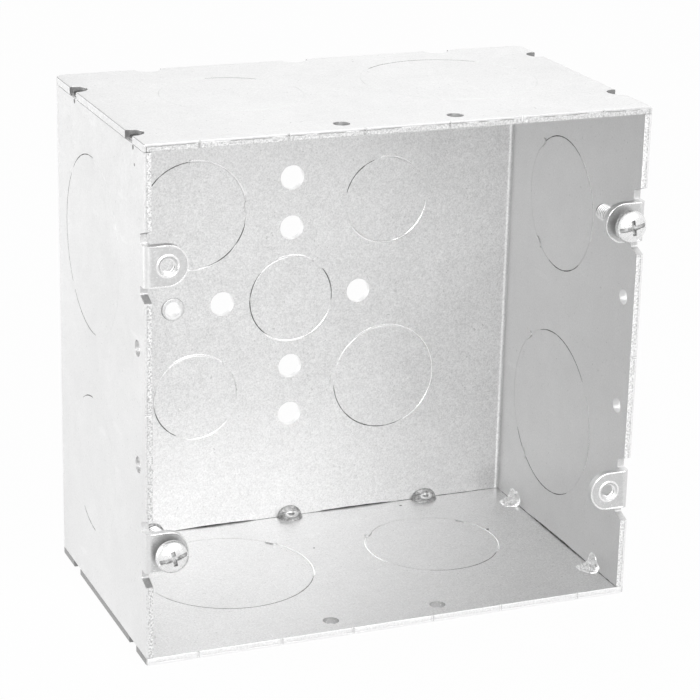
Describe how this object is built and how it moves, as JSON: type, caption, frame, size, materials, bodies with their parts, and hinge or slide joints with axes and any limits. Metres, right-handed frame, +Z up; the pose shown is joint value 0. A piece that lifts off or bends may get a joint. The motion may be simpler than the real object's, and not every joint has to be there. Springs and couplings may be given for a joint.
{
  "type": "square electrical box",
  "caption": "Square welded steel junction box with knockouts, fixing holes, four threaded ears at its open front and two cover screws.",
  "frame": {"origin": "middle of the back's outer face", "axes": "+X to the right seen from the open front, +Y out of the back, +Z up, with the box standing on its bottom plate"},
  "size_m": [0.127, 0.078, 0.127],
  "materials": {
    "galvanised_sheet": "bright galvanised sheet",
    "weld_metal": "rough tack weld",
    "screw_steel": "bright zinc plated"
  },
  "bodies": {
    "root": {"wrap_body": "galvanised_sheet", "top_plate": "galvanised_sheet", "bottom_plate": "galvanised_sheet", "weld_top_left_rear": "weld_metal", "weld_top_left_front": "weld_metal", "weld_top_right_rear": "weld_metal", "weld_top_right_front": "weld_metal", "weld_bottom_left_rear": "weld_metal", "weld_bottom_left_front": "weld_metal", "weld_bottom_right_rear": "weld_metal", "weld_bottom_right_front": "weld_metal", "weld_top_back_left": "weld_metal", "weld_top_back_middle": "weld_metal", "weld_top_back_right": "weld_metal", "weld_bottom_back_left": "weld_metal", "weld_bottom_back_middle": "weld_metal", "weld_bottom_back_right": "weld_metal", "cover_screw_lower_left": "screw_steel", "cover_screw_upper_right": "screw_steel"}
  },
  "joints": []
}
